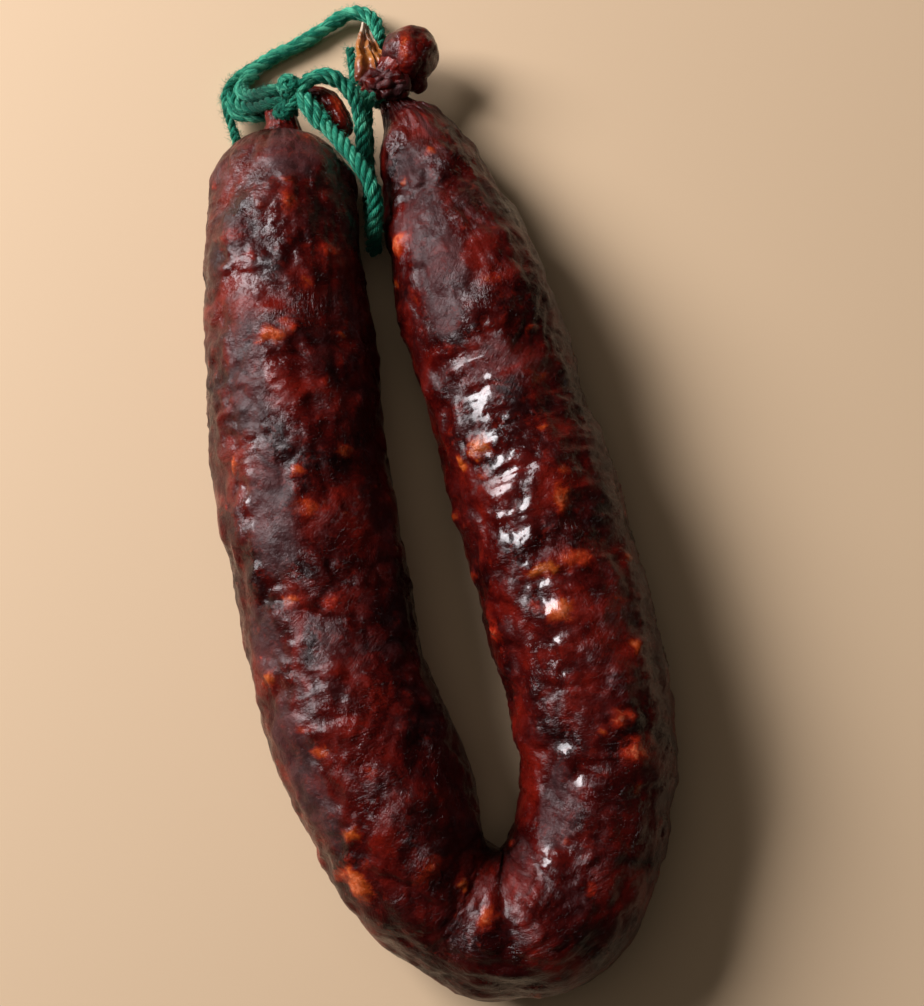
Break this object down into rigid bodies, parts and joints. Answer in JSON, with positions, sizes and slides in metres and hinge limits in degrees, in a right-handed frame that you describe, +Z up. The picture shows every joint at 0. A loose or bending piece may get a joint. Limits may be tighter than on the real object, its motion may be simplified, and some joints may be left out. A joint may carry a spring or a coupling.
{
  "type": "cured sausage",
  "caption": "Dry-cured sausage bent into a horseshoe, lying flat, both ends tied in green cotton string with a hanging loop.",
  "frame": {"origin": "on the surface that the sausage lies on, below the middle of the sausage's own box, leaving the string out", "axes": "+Y from the bend to the two tied ends; +X from the blunt left leg to the tapered right leg; +Z up off the surface"},
  "size_m": [0.1106, 0.2435, 0.0384],
  "materials": {
    "cured_casing": "satin",
    "cotton_string": "matte"
  },
  "bodies": {
    "root": {"sausage": "cured_casing", "left_knot": "cotton_string", "right_binding": "cotton_string", "hanging_loop": "cotton_string", "front_tail": "cotton_string", "back_tail": "cotton_string", "right_tail": "cotton_string", "left_cut_end": "cotton_string", "right_cut_end": "cotton_string"}
  },
  "joints": []
}
